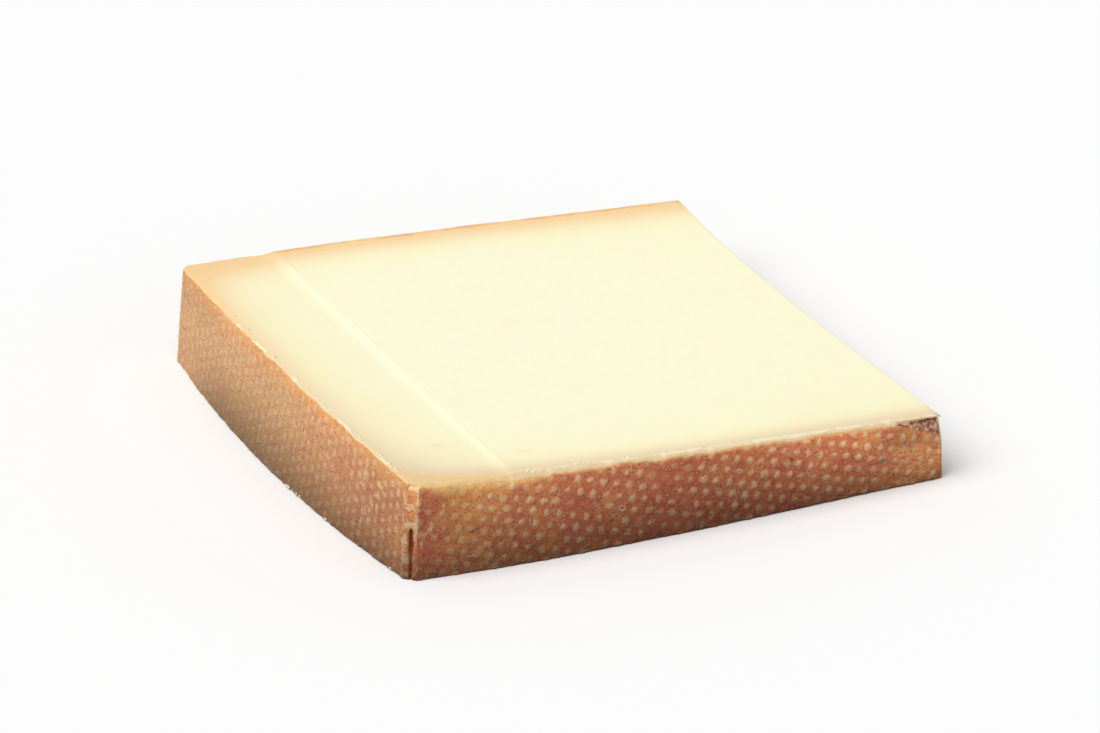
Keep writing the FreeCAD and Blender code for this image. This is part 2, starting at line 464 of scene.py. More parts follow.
NUB_SHIFT = 0.36               # the room a nub has to lie beside its place, in millimetres
NUB_STRETCH = 0.35             # how much longer or wider it may be
NUB_REACH = (0.85, 1.15)       # its smallest and largest size
NUB_POWER = (0.7, 1.0)         # its weakest and strongest showing
NUB_MISSING = 0.12             # the share of nubs that are faint or gone
NO_NUB = 9.0                   # farther from a nub's middle than any nub reaches


def lattice_nubs(along, up, lattice, seed):
    """Distance from the nearest nub's middle, in millimetres, and that nub's strength.

    Each nub is moved, sized and weakened a little by a random draw for its place in the lattice.
    """
    origin, first, second = (np.array(part) for part in lattice)
    steps = np.linalg.inv(np.stack([first, second], axis=1))
    offset = np.stack([along, up], axis=-1) - origin
    cell = np.floor(offset @ steps.T).astype(np.int64)
    draws = np.random.default_rng(seed).uniform(0, 1, (TABLE, 6))
    best = np.full(along.shape, NO_NUB)
    strength = np.zeros(along.shape)
    for corner in itertools.product((-1, 0, 1, 2), repeat=2):
        at = cell + np.array(corner)
        draw = draws[picked(at, DOT_PRIMES)]
        middle = at @ np.stack([first, second]) + (draw[..., :2] - 0.5) * NUB_SHIFT
        away = offset - middle
        stretch = 1 + NUB_STRETCH * (draw[..., 5] - 0.5)
        reach = between(NUB_REACH, draw[..., 2])
        distance = np.hypot(away[..., 0] / stretch, away[..., 1] * stretch) / reach
        nearer = distance < best
        best = np.where(nearer, distance, best)
        power = ease(0, NUB_MISSING, draw[..., 3]) * between(NUB_POWER, draw[..., 4])
        strength = np.where(nearer, power, strength)
    return best, strength


# ---------------------------------------------------------------------------------------------
# What the surface of the slice carries, as numbers at every vertex

# Pits and crusts on the skin by wall, each with its place along the wall and up it, then its
# reach along and up, all in millimetres
PITS = {
    FRONT_SIDE: (
        (12.6, 8.1, 0.55, 0.30),
        (13.9, 8.5, 0.35, 0.25),
        (16.4, 7.0, 0.60, 0.22),
        (23.8, 9.3, 0.40, 0.30),
        (40.5, 5.3, 0.38, 0.40),
        (42.5, 7.5, 0.65, 0.25),
        (46.2, 15.5, 0.30, 0.30),
        (46.9, 15.6, 0.25, 0.25),
        (60.6, 2.5, 0.28, 0.25),
        (56.2, 12.9, 0.30, 0.22),
        (71.0, 9.2, 0.22, 0.45),
        (76.2, 9.8, 0.35, 0.20),
    ),
    HEEL_SIDE: ((-26.4, 13.0, 0.45, 0.35), (18.0, 8.0, 0.40, 0.25)),
}
CRUSTS = {
    FRONT_SIDE: (
        (39.4, 15.3, 1.4, 0.7),
        (55.3, 14.2, 1.0, 0.8),
        (78.6, 13.4, 0.9, 0.5),
        (82.0, 13.4, 2.0, 0.9),
        (77.6, 10.4, 1.2, 0.8),
    ),
}
# Patches of the front wall, with how strong each is before its place and reach: skin that is
# redder, or yellower below 0, and skin whose nubs are rubbed off
REDDER = (
    (0.08, 6.4, 15.4, 5.4, 2.3),
    (0.12, 3.9, 12.2, 1.4, 1.8),
    (0.10, 4.4, 5.0, 3.4, 6.0),
    (-1.0, 13, 16.5, 8, 3),
    (-0.8, 6.6, 11.2, 2.6, 2.6),
)
RUBBED = (
    (1.1, 5.6, 15.6, 6.0, 3.4),
    (1.1, 3.8, 5.0, 3.0, 6.0),
    (0.8, 100.5, 6.0, 3.6, 3.6),
)
# Where more paste is bared along the front's upper edge: how much more, where and how far
BARED = ((0.45, 50, 2.5), (0.35, 79, 3))
# How the tan of the rind has soaked into the paste: strength, reach in millimetres and power
SOAKED_HEEL = ((0.95, 6.4, 1),)
SOAKED_FRONT = ((0.74, 4.4, 2), (0.46, 11, 1))
SOAKED_CORNER = ((0.80, 12, 1.5),)
SOAKED_BACK = ((1.16, 7.2, 1.5), (0.22, 14, 1))
CORNER_REACH = 15
# Small yellow stains on the upper cut: how strong, where, and how far they reach
STAINS = (
    (0.36, (50.5, 9.0), (4.6, 1.3)),
    (0.20, (57.0, 7.6), (3.0, 1.2)),
    (0.30, (13.3, -39.0), (2.2, 1.5)),
    (0.25, (27.4, -46.6), (2.6, 1.4)),
    (0.35, (94.4, -33.3), (1.1, 1.0)),
)
BITE_RADIUS = 2.4
BITE_DEPTH = 0.35
BITES = {FRONT_SIDE: 6, HEEL_SIDE: 5}
BITE_STRIDE = 0.618            # each bite lies this share of the edge past the one before
RIM_REACH = 3                  # how far the front rim reaches from its corner, both ways
# Heights in millimetres that each thing adds to the surface, or takes from it
HEIGHTS = {
    "lumps": 0.13,
    "grit": 0.05,
    "grains": 0.09,
    "crusts": 0.22,
    "bloom": 0.18,
    "branch": 0.2,
    "pits": 0.3,
    "broken": 0.22,
    "nose": 0.05,
    "nose_grit": 0.02,
    "cut": 0.05,
    "crushed": 0.07,
    "cut_grit": 0.012,
}
EDGE_WANDER = (0.46, 0.18, 0.36)     # how far the upper edge wanders at heel, front and back
EDGE_FADE = (0.9, 1.4)               # the distance in from it and down over which that fades
EDGE_STANDS_BACK = (0.3, 1.5)        # how far in the edge stands back whole, then how it fades
MOST_BARED = 1.4                     # the most paste that the torn edge bares, in millimetres
STRONGEST_SHADE = 1.7
BARE = -5.0                          # the depth inside the skin where there is none
CARRIED = (
    "skin nub nub_strength shade toast pale cream rust dark crack stroke backward hole foot stain "
    "tanned"
).split()


def soaked(depth, layers):
    """Layers that fade with depth: strength times e to the minus of depth by reach, to a power."""
    return sum(strength * np.exp(-((depth / reach) ** power)) for strength, reach, power in layers)


class Surface:
    """Every vertex of the slice before its relief: place, normal and wall, and what it carries."""

    def __init__(self, form, rind, points, normals, walls):
        self.form, self.rind = form, rind
        self.points, self.normals, self.walls = points, normals, walls
        self.x, self.y, self.z = points.T
        self.on_front, self.on_heel, self.on_nose, self.on_bevel = (
            walls == wall for wall in (FRONT_SIDE, HEEL_SIDE, NOSE_SIDE, BEVEL_SIDE)
        )
        self.heelward = self.on_heel | (walls == RIM_SIDE)
        self.on_skin = (walls != CUT_FACE) & ~self.on_nose
        top = form.top_z(self.x, self.y)
        self.under_top = top - self.z
        self.up = ramp(0, top, self.z)
        self.upper = self.z > 0.5 * top
        self.ragged = np.stack([1.1 * rough(points, 3.6, seed) for seed in (81, 91)])
        self.find_depths()
        self.find_skin()
        self.find_nubs()
        self.find_rust()
        self.find_painted_light_and_shade()
        self.find_stains()
        self.find_pale()
        self.find_cream()
        self.find_crack()
        self.find_dark()

    def patch_on(self, wall, middle, reach, ragged=1.0):
        """A mound on one wall, round a place along it and up it, its outline made ragged."""
        along = self.y if wall == HEEL_SIDE else self.x
        shifts = ragged * self.ragged
        return (self.walls == wall) * spot(along + shifts[0], self.z + shifts[1], middle, reach)

    def patches(self, table, ragged=1.0):
        """The sum of a table's mounds on their walls."""
        rows = [(wall, row) for wall, rows in table.items() for row in rows]
        return sum(self.patch_on(wall, row[:2], row[2:], ragged) for wall, row in rows)

    def run(self, shift):
        """Points that hold only the way round the walls, for noise that is equal at any height."""
        return np.stack([self.x, self.y, 0 * self.z + shift], axis=-1)

    def lumps(self, size, seed, low, high):
        """Grain of a size, turned to 0 up to low and 1 from high on."""
        return ease(low, high, grain(self.points, size, seed))

    def find_depths(self):
        """Depth inside the outer faces, and the tan soaked in: layers that fade with depth.

        The stroke is the place along the slice from the step on; toast is where the knife cut rind.
        """
        form, x, y, z = self.form, self.x, self.y, self.z
        self.heel_depth = np.maximum(x - form.heel_x(y, z), 0)
        self.front_depth = np.maximum(y - form.front_y(x, z), 0)
        self.back_depth = np.maximum(form.back_y(x, z) - y, 0)
        self.stroke = np.where(self.upper, x - form.step_at, form.slice_length)
        self.backward = ease(-30, 45, y)
        shade = soaked(self.heel_depth, SOAKED_HEEL) + soaked(self.front_depth, SOAKED_FRONT)
        corner = np.exp(-np.maximum(x, 0) / CORNER_REACH)
        shade = shade + soaked(self.front_depth, SOAKED_CORNER) * corner
        shade = shade + soaked(self.back_depth, SOAKED_BACK)
        shade = shade + 0.16 * ease(-1, -4, self.stroke) - 0.04 * ease(0, -1, self.stroke)
        shade = shade + 0.05 * rough(self.points, 24, 21) + 0.10 * ease(62, 100, x)
        stains = sum(strength * spot(x, y, place, reach) for strength, place, reach in STAINS)
        self.shade = np.clip(shade + self.upper * stains + 0.4 * self.on_nose, 0, STRONGEST_SHADE)

        cut_back = ease(2.4, 0.7, self.back_depth + 0.35 * grain(self.run(0), 2.2, 22))
        cut_back = cut_back * between((0.26, 0.64), ease(20.5, 22, x))
        cut_back = cut_back * (1 + 0.45 * grain(self.run(4), 3.5, 23))
        cut_heel = 0.55 * ease(0.5, 0.05, self.heel_depth)
        cut_nose = ease(1.5, 0.4, np.minimum(self.front_depth, self.back_depth))
        on_cut = self.upper & (self.walls == CUT_FACE)
        cut_rind = np.maximum(cut_back, cut_heel)
        self.toast = np.select([self.on_nose, on_cut], [cut_nose, cut_rind], 0)

    def find_skin(self):
        """How far, in millimetres, a point lies inside the skin; below 0 the paste is bared."""
        x = self.x
        front = self.rind.torn_edge + 0.30 * grain(self.run(0), 5.5, 11)
        front = front + 0.26 * rough(self.run(3), 1.7, 12) + 0.16 * grain(self.points, 0.8, 17)
        front = front + 0.3 * ease(15, 20, x) * ease(30, 26, x) - 0.2 * ease(13, 8, x)
        front = front + sum(more * mound((x - middle) / reach) for more, middle, reach in BARED)
        front = front + 0.14 * ease(84, 90, x)
        heel = 0.2 + 0.12 * grain(self.run(5), 3.0, 13) + 0.1 * grain(self.run(7), 0.9, 14)
        back = 0.25 + 0.2 * grain(self.run(9), 4.0, 15)
        bevel = 0.9 + 0.4 * grain(self.points, 2.0, 16)
        bared = np.select([self.on_front, self.on_heel, self.on_bevel], [front, heel, bevel], back)
        self.skin = np.where(self.on_skin, self.under_top - bared, BARE)
        near_front = self.front_depth < np.minimum(self.heel_depth, self.back_depth)
        self.bared = np.clip(np.where(near_front, front, heel), 0, MOST_BARED)

    def find_nubs(self):
        """Nearness to a nub's middle and the nub's strength, less where the skin is rubbed."""
        warped = 0.16 * np.stack([grain(self.points, 9, 31), grain(self.points, 9, 32)])
        distance, strength = NO_NUB + 0 * self.x, 0 * self.x
        for here, along, lattice, seed in (
            (self.on_front, self.x, FRONT_LATTICE, 41),
            (self.heelward, self.y, HEEL_LATTICE, 42),
            (self.walls == BACK_SIDE, self.x, BACK_LATTICE, 43),
        ):
            found = lattice_nubs(along + warped[0], self.z + warped[1], lattice, seed)
            distance = np.where(here, found[0], distance)
            strength = np.where(here, found[1], strength)
        rubbed = [row[0] * self.patch_on(FRONT_SIDE, row[1:3], row[3:]) for row in RUBBED]
        rubbed.append(0.25 * ease(20, 11, self.x) * self.on_front)
        rubbed.append(0.5 * self.lumps(7, 33, 0.4, 0.8))
        far = (0.28 + 0.1 * ease(-10, 20, self.y)) * ease(-38, -33, self.y)
        rubbed = np.maximum.reduce([*rubbed, far * self.on_heel])
        self.nub_distance = distance / self.rind.nub_radius
        self.nub = 1 - self.nub_distance
        self.nub_strength = strength * np.clip(1 - rubbed, 0, 1) * ease(-0.1, 0.5, self.skin)

    def find_rust(self):
        """Redder skin above 0, yellower below: two sizes of lumps, with patches and worn ends."""
        x = self.x
        rust = 0.42 * rough(self.points, 11, 51) + 0.35 * rough(self.points, 3.2, 52)
        rust += sum(row[0] * self.patch_on(FRONT_SIDE, row[1:3], row[3:]) for row in REDDER)
        along = 0.25 * ease(26, 34, x) * ease(86, 70, x) - 0.5 * ease(98, 106, x)
        along = along - 0.55 * ease(22, 12, x) * ease(6, 9, x)
        rust += self.on_front * along - 0.8 * self.on_heel * ease(3.6, 1.4, self.under_top)
        rust -= 0.6 * ((self.walls == RIM_SIDE) | self.on_bevel)
        self.rust = np.clip(rust, -1, 1)

    def find_painted_light_and_shade(self):
        """Painted light and shade on the skin: a share that darkens it most at its foot, where
        shade falls, lightens it towards the upper edge and at the front's foot by the nose as
        painted light, and varies by wall.
        """
        x, y, up, heelward = self.x, self.y, self.up, self.heelward
        foot = 0.46 + 0.56 * ramp(0.05, 0.6, up) + 0.2 * ramp(0.6, 0.9, up)
        foot = between((foot, 0.98), 0.75 * heelward * ease(22, 46, y))
        foot = foot + heelward * (0.05 * ease(8, 24, y) - 0.10 * ease(0.55, 0.75, up))
        foot = foot - 0.17 * heelward * ease(-20, -48, y) * ease(0.3, 0.6, up)
        # Lighter along the front towards the nose: painted bounce light.
        foot = foot * (1 + self.on_front * 0.40 * ease(60, 97, x))
        foot = foot * (1 + self.on_front * (0.15 - 0.34 * ease(0.2, 0.6, up)) * ease(19, 7, x))
        foot = foot * (1 - 0.34 * self.on_front * ease(0.45, 0.7, up) * ease(92, 101, x))
        past = y - self.form.front - self.form.front_bevel
        foot = foot * (1 - 0.17 * ease(4, 1.8, x) * ease(1.5, 0, past) * ease(0.3, 0.5, up))
        self.foot = foot + 0.25 * self.on_front * ease(92, 104, x) * ease(0.6, 0.2, up)

    def find_stains(self):
        """Amber stain below the upper edges, widest by the front's heel end, and the heel's tan."""
        x, under = self.x, self.under_top
        band = 0.4 * ease(1.7, 0.7, under + 0.5 * self.ragged[0])
        corner = ease(3, 6, x) * ease(34, 20, x) * ease(2.9, 0.8, under + self.ragged[0])
        heel = 0.3 * self.on_heel * ease(3.0, 1.2, under)
        self.stain = np.maximum(self.on_front * np.maximum(band, corner), heel)
        tanned = self.heelward * (0.4 + 0.6 * ease(-52, 10, self.y))
        tanned = tanned + 0.35 * (self.walls == BACK_SIDE)
        self.tanned = tanned * (1 - 0.6 * ease(3.4, 1.0, under))

    def find_pale(self):
        """Crushed, dried paste: a broken crest along the front's upper edge, crumbs at the heel."""
        broken = 0.56 + 0.4 * grain(self.run(0), 2.4, 53) + 0.4 * grain(self.points, 0.8, 74)
        on_wall, on_top = ease(-0.4, -0.75, self.skin), ease(1.35, 0.75, self.front_depth)
        crest = np.where(self.on_front, on_wall, on_top)
        crest = crest * ease(16, 30, self.x) * broken
        crumbled = ease(0.1, 0.7, grain(self.run(0), 3.0, 54))
        crumbled = 0.75 * ease(1.4, 0.2, self.heel_depth) * crumbled
        on_cut = self.upper & (self.walls == CUT_FACE)
        pale = np.select([on_cut, self.on_front], [np.maximum(crest, crumbled), crest], 0)
        self.pale = np.clip(pale, 0, 1)

    def find_cream(self):
        """Chalky bloom: the largest of a clotted foot, a swirl, a blotch, the worn rim, frost."""
        x, y, z, points = self.x, self.y, self.z, self.points
        base = self.on_skin * ease(1.3, 0.3, z) * self.lumps(1.6, 55, -0.1, 0.5)
        clotted = self.on_front * ease(32, 22, x) * ease(5, 9, x) * ease(3.0, 0.8, z)
        base = np.maximum(base, 0.8 * clotted * self.lumps(1.2, 76, -0.3, 0.5))
        swirl = np.hypot((x - 4.6 + self.ragged[0] / 2) / 2.2, (z - 5.2 + self.ragged[1] / 2) / 4.9)
        swirl = 0.5 * ease(0.2, 0.04, np.abs(swirl - 1)) * ease(7, 4.5, x) * ease(1, 7, z)
        swirl = self.on_front * swirl * (1 + 0.8 * grain(points, 0.9, 60))
        blotch = 0.45 * self.patch_on(FRONT_SIDE, (101, 6.2), (3.0, 4.0))
        torn = 0.5 * self.ragged[0] + 0.6 * grain(points, 0.9, 58)
        past = y - self.form.front - self.form.front_bevel
        rim = self.on_bevel + self.on_front * ease(0.5, -0.5, x - 2.1 - torn)
        rim = rim + self.on_heel * ease(0.8, -0.8, past - 1.0 - torn)
        rim = rim * (0.44 + 0.14 * ease(4, 8, z) + 0.8 * grain(points, 1.2, 56))
        path = ease(1, 0.2, np.abs(y + 39.6 + 0.62 * (z - 8.5)) / 1.6)
        frost = self.on_heel * path * self.lumps(0.8, 59, -0.1, 0.5)
        frost = frost + 0.6 * self.patch_on(HEEL_SIDE, (-37, 13.8), (3.0, 2.4))
        flecks = 0.6 * self.on_heel * ease(6, -30, y)
        flecks = flecks + 0.75 * self.on_front * ease(30, 14, x) * ease(5, 8, x)
        frost = frost + flecks * self.lumps(0.8, 75, 0.3, 0.75)
        self.cream = np.clip(np.maximum.reduce([0.6 * base, swirl, blotch, rim, 0.8 * frost]), 0, 1)

    def find_crack(self):
        """Depth of the crack in the front rim, 1 at its middle, with a branch above it."""
        bevel, z, points = self.form.front_bevel, self.z, self.points
        rim_x = self.form.rims(z)[0]
        past_x, past_y = self.x - rim_x, self.y - self.form.front
        sideways = ((past_x - bevel / 2) - (past_y - bevel / 2)) / 2**0.5
        sideways = sideways + 0.2 * grain(points * (0, 0, 1), 2.2, 58) + 0.12 * self.ragged[1]
        share = ramp(0, self.rind.crack_height, z)
        half = self.rind.crack_width / 2 * (0.7 + 0.3 * ease(0.3, 0.6, share))
        half = np.maximum(half * ease(1.05, 0.82, share + 0.05 * self.ragged[0]), 0.01)
        on_rim = (past_x < RIM_REACH) & (past_y < RIM_REACH) & self.on_skin
        groove = on_rim * ease(1.15, 0.45, np.abs(sideways) / half) * ease(1, 0.9, share)
        self.crack = groove * (0.62 + 0.38 * ease(0.35, 0.65, share))
        slant = np.abs(z - 14.3 + 0.55 * sideways + 0.3 * self.ragged[0])
        self.branch = 0.5 * on_rim * ease(0.36, 0.1, slant) * ease(1.8, 1.0, np.abs(sideways))

    def find_dark(self):
        """What is darkest: pits, the crack's branch, painted shadow under the pocket's lip, a
        smear, crusts.
        """
        depth = self.form.pocket(self.x, self.z)
        self.pits, self.crusts = self.patches(PITS, 0.1), self.patches(CRUSTS)
        self.hole = self.on_front * ease(0.02, 0.25, depth)
        # Painted shadow under the pocket's lip, darkest just below it.
        lip = self.hole * ease(1.3, 0.3, self.under_top - self.form.pocket_lip)
        smear = 0.55 * self.patch_on(FRONT_SIDE, (97, 6.2), (2.8, 0.9))
        crusty = 0.6 * self.crusts * self.lumps(0.7, 57, -0.3, 0.5)
        self.dark = np.maximum.reduce([self.pits, 0.7 * self.branch, 0.8 * lip, smear, crusty])

    def relief(self):
        """How far each vertex stands out along its normal, in millimetres: a sum of heights."""
        rind, points = self.rind, self.points
        high = HEIGHTS
        wall = high["lumps"] * rough(points, 8, 61) + high["grit"] * rough(points, 1.1, 62)
        wall = wall + high["grains"] * ease(0.2, -0.8, self.rust) * grain(points, 0.8, 63)
        wall = wall + high["crusts"] * self.crusts * (0.6 + 0.6 * grain(points, 0.8, 64))
        bloom = self.cream * self.on_skin * (0.6 + 0.5 * grain(points, 1.3, 65))
        wall = wall + high["bloom"] * bloom - high["branch"] * self.branch
        wall = wall + rind.nub_height * self.nub_strength * mound(self.nub_distance)
        wall = wall - high["pits"] * self.pits - 0.8 * rind.crack_depth * self.crack
        wall = wall + high["broken"] * self.hole * rough(points, 1.6, 66)
        wall = wall * (0.5 + 0.5 * ease(0, 3.5, self.under_top))
        nose = high["nose"] * rough(points, 9, 67) + high["nose_grit"] * rough(points, 1.5, 68)
        cut = high["cut"] * rough(points, 16, 69) + high["crushed"] * self.pale
        cut = cut + high["cut_grit"] * grain(points, 1.2, 70)
        return np.select([self.on_skin, self.on_nose, self.upper], [wall, nose, cut], 0)

    def edge_shift(self, outwards):
        """How far the torn upper edge wanders and stands back, falling off from it both ways.

        On a wall it stands back by the skin's thickness above the torn line and then slopes in;
        on the cut the same shift fades with the distance in from the edge. The inner grid of the
        cut has no column to follow, so it moves along the outward lines of its nearest sides.
        """
        heel, front, back = (
            np.exp(-depth) for depth in (self.heel_depth, self.front_depth, self.back_depth)
        )
        nearest = np.stack([-heel, back - front, 0 * heel], axis=1)
        nearest = nearest / np.maximum(np.linalg.norm(nearest, axis=1, keepdims=True), 1e-9)
        outwards = np.where(outwards.any(axis=1)[:, None], outwards, nearest)
        near = np.minimum(np.minimum(self.heel_depth, self.front_depth), self.back_depth)
        fade = np.exp(-near / EDGE_FADE[0]) * np.exp(-self.under_top / EDGE_FADE[1])
        wander = 0.55 * grain(self.run(0), 4.5, 71) + 0.45 * rough(self.run(2), 1.6, 72)
        depths = self.heel_depth, self.front_depth, self.back_depth
        reach = np.select([depth < 2 for depth in depths], EDGE_WANDER, 0)
        step, slope = self.rind.skin_step, self.rind.torn_slope
        on_wall = step * ease(0.14, -0.12, self.skin) + slope * np.clip(-self.skin, 0, MOST_BARED)
        whole, fading = EDGE_STANDS_BACK
        on_cut = (step + slope * self.bared) * np.exp(-np.maximum(near - whole, 0) / fading)
        back = np.select([self.on_skin, self.on_nose, self.upper], [on_wall, 0, on_cut], 0)
        return outwards * (reach * wander * fade - back)[:, None]

    def bite(self, points):
        """Points with shallow bites off the upper edges: inside a ball, down to its floor."""
        form = self.form
        span = form.step_at + form.step_width[0] + BITE_RADIUS
        ends = {
            FRONT_SIDE: (span, form.slice_length - form.pocket_length - BITE_RADIUS),
            HEEL_SIDE: (
                form.front + form.front_bevel + BITE_RADIUS,
                form.back - form.back_rim_radius - BITE_RADIUS,
            ),
        }
        for wall, count in BITES.items():
            for k in range(1, count + 1):
                place = between(ends[wall], k * BITE_STRIDE % 1)
                if wall == FRONT_SIDE:
                    edge = np.array([place, form.front_y(place, form.shoulder)])
                    away = np.array([0, -1, 1]) / 2**0.5
                else:
                    edge = np.array([form.heel_x(place, form.shoulder), place])
                    away = np.array([-1, 0, 1]) / 2**0.5
                middle = np.append(edge, form.top_z(*edge)) + away * (BITE_RADIUS - BITE_DEPTH)
                offset = points - middle
                lift = offset @ away
                beside = np.linalg.norm(offset - lift[:, None] * away, axis=1)
                floor = -np.sqrt(np.maximum(BITE_RADIUS**2 - beside**2, 0))
                drop = np.where(beside < BITE_RADIUS, np.maximum(lift - floor, 0), 0)
                points = points - np.minimum(drop, BITE_DEPTH)[:, None] * away
        return points

    def carried(self):
        """The numbers that the shader reads, by name."""
        return {name: getattr(self, name) for name in CARRIED}


# ---------------------------------------------------------------------------------------------
# The mesh of the slice


def ring_rows(form, rind, ring):
    """Grid of points, a row for each step of a walk from under the slice, up its wall, onto it.

    The walk goes in over the base, round the lower edge, up, round the upper edge and in again.
    """
    top = ring.top()
    base_line, top_line = ring.at(0 * top)[0], ring.at(top)[0]
    a_out, b_out = square_walk(ring.corners, ring.count, 0)
    a_in, b_in = square_walk(ring.corners, ring.count, CAP_MARGIN)
    margin = CAP_MARGIN * form.slice_length

    def inset(line, distance):
        """The outline drawn in by a distance, as a row of X and Y."""
        share = distance / margin
        a, b = between((a_out, a_in), share), between((b_out, b_in), share)
        return patch(line, ring.corners, a, b)

    rows, walls = [], []

    def add(place, height, wall):
        height = np.broadcast_to(height, (ring.count,))[:, None]
        rows.append(np.concatenate([place, height], axis=1))
        walls.append(np.full(ring.count, wall) if np.isscalar(wall) else wall)

    for share in BASE_STEPS:
        add(inset(base_line, share * margin), 0, CUT_FACE)
    turns = np.linspace(0, math.pi / 2, EDGE_ROWS)
    for turn in turns:
        lift = rind.base_round * (1 - math.cos(turn))
        drawn = inset(base_line, rind.base_round * (1 - math.sin(turn))) - inset(base_line, 0)
        add(ring.at(0 * top + lift)[0, :, :2] + drawn, lift, CUT_FACE if turn == 0 else ring.side)
    for share in np.linspace(0, 1, WALL_ROWS)[1:-1]:
        height = between((rind.base_round, top - rind.top_round), share)
        add(ring.at(height)[0, :, :2], height[0], ring.side)
    for turn in turns:
        height = top - rind.top_round * (1 - math.sin(turn))
        drawn = inset(top_line, rind.top_round * (1 - math.cos(turn))) - inset(top_line, 0)
        add(ring.at(height)[0, :, :2] + drawn, height[0], ring.side if turn < 1 else CUT_FACE)
    for share in TOP_STEPS:
        place = inset(top_line, share * margin)
        add(place, form.top_z(place[:, 0], place[:, 1]), CUT_FACE)
    return np.stack(rows), np.stack(walls), base_line, top_line


def cap_grid(ring, line, height):
    """Inner grid of one cut: its points, the numbers of its rim, anticlockwise, and its faces."""
    margin = CAP_MARGIN * GRID_MARGIN
    shares = [margin + (1 - 2 * margin) * np.linspace(0, 1, cells + 1) for cells in CAP_CELLS]
    a, b = np.meshgrid(*shares, indexing="ij")
    place = patch(line, ring.corners, a, b)
    z = height(place[..., 0], place[..., 1])
    number = np.arange(a.size).reshape(a.shape)
    rim = np.concatenate(
        [number[:-1, 0], number[-1, :-1], number[:0:-1, -1], number[0, :0:-1]]
    )
    quads = np.stack([number[:-1, :-1], number[1:, :-1], number[1:, 1:], number[:-1, 1:]], axis=-1)
    return np.concatenate([place, z[..., None]], axis=-1).reshape(-1, 3), rim, quads.reshape(-1, 4)


def joined(fine, rim):
    """Triangles between a ring of fine columns and a cap's rim: a fan for each cell of the rim."""
    after = np.roll(rim, -1)
    one, two, three = (fine[k::FINE] for k in range(3))
    four = np.roll(one, -1)
    fans = [(one, two, rim), (two, three, rim), (rim, three, after), (three, four, after)]
    return np.concatenate([np.stack(fan, axis=1) for fan in fans])


def slice_surface(form, rind):
    """All vertices of the slice on its smooth form, with faces that close it."""
    ring = Ring(form)
    grid, walls, base_line, top_line = ring_rows(form, rind, ring)
    rows, columns = walls.shape
    number = np.arange(rows * columns).reshape(rows, columns)
    beside = np.roll(number, -1, axis=1)
    quads = np.stack([number[:-1], beside[:-1], beside[1:], number[1:]], axis=-1).reshape(-1, 4)
    top, rim, top_quads = cap_grid(ring, top_line, form.top_z)
    base, _, base_quads = cap_grid(ring, base_line, lambda x, y: 0 * x)
    top_start = rows * columns
    base_start = top_start + len(top)
    triangles = np.concatenate(
        [
            joined(number[-1], rim + top_start),
            joined(number[0], rim + base_start)[:, ::-1],
        ]
    )
    quads = np.concatenate([quads, top_quads + top_start, base_quads[:, ::-1] + base_start])
    upright = np.array([0.0, 0.0, 1.0])
    points = np.concatenate([grid.reshape(-1, 3), top, base])
    normals = np.concatenate(
        [crossed(grid).reshape(-1, 3), 0 * top + upright, 0 * base - upright]
    )
    wall_of = np.concatenate([walls.reshape(-1), np.full(len(top) + len(base), CUT_FACE)])
    around = np.roll(top_line, -1, axis=0) - np.roll(top_line, 1, axis=0)
    outwards = np.stack([around[:, 1], -around[:, 0], 0 * around[:, 0]], axis=1)
    outwards /= np.linalg.norm(outwards, axis=1, keepdims=True)
    outwards = np.concatenate([np.tile(outwards, (rows, 1)), np.zeros((len(top) + len(base), 3))])
    return Surface(form, rind, points, normals, wall_of), outwards, quads, triangles


def shift_to_frame(form):
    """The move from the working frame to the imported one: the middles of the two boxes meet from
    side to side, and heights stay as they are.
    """
    ring = Ring(form)
    wall = ring.at(np.linspace(0 * ring.top()[0], ring.top()[0], 12)).reshape(-1, 3)
    low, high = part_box(NODE)
    shift = np.array((low + high) / 2) / MM - (wall.min(axis=0) + wall.max(axis=0)) / 2
    return shift * (1, 1, 0)


def new_object(name, points, faces, material):
    """A mesh object in the scene; points come in metres."""
    mesh = bpy.data.meshes.new(name)
    mesh.from_pydata(points.tolist(), [], faces)
    mesh.materials.append(material)
    made = bpy.data.objects.new(name, mesh)
    bpy.context.scene.collection.objects.link(made)
    return made


def make_piece(name, points, faces, material, carried=None):
    """A smooth object that rides on the slice's body, with the numbers that its shader reads."""
    piece = new_object(name, points, faces, material)
    mesh = piece.data
    mesh.polygons.foreach_set("use_smooth", np.ones(len(mesh.polygons), bool))
    for key, values in (carried or {}).items():
        layer = mesh.attributes.new(key, "FLOAT", "POINT")
        layer.data.foreach_set("value", np.asarray(values, np.float32))
    if mesh.validate(verbose=True):
        raise RuntimeError(name + " has faces that don't hold together")
    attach(piece, BODY)
    return piece


# ---------------------------------------------------------------------------------------------
# Crumbs that the knife left along the upper edges

# Where crumbs lie: along the heel's upper edge, along its foot, and along the front's upper edge
HEEL_CRUMBS = (29.7, 21.5, 8.0, -1.8, -17.4, -31.0, -40.2, -43.4, -47.1)
FOOT_CRUMBS = (-10.5, -13.6, -25.0, -28.2, -31.1, -48.1)
FRONT_CRUMBS = (24.5, 30.2, 33.6, 35.2, 36.6, 43.0, 52.4, 58.8)
CRUMB_SIZE = (0.50, 0.26, 0.14)          # half its length, width and thickness, in millimetres
CRUMB_GRID = (5, 8)
CRUMBS_TOGETHER = 3
CRUMB_SIZES = (0.5, 1.4)
CRUMB_LUMPS = 0.34
CRUMB_TURN = 0.4               # how far a crumb may turn from its edge, in radians
CRUMB_STREW = (0.75, 0.22)     # how far crumbs scatter along the edge and across it
CRUMB_INSET = (0.8, 1.3)       # how far in from the heel and the front they lie
FOOT_PLACE = (0.10, 0.45)      # how far in and up they lie at the foot


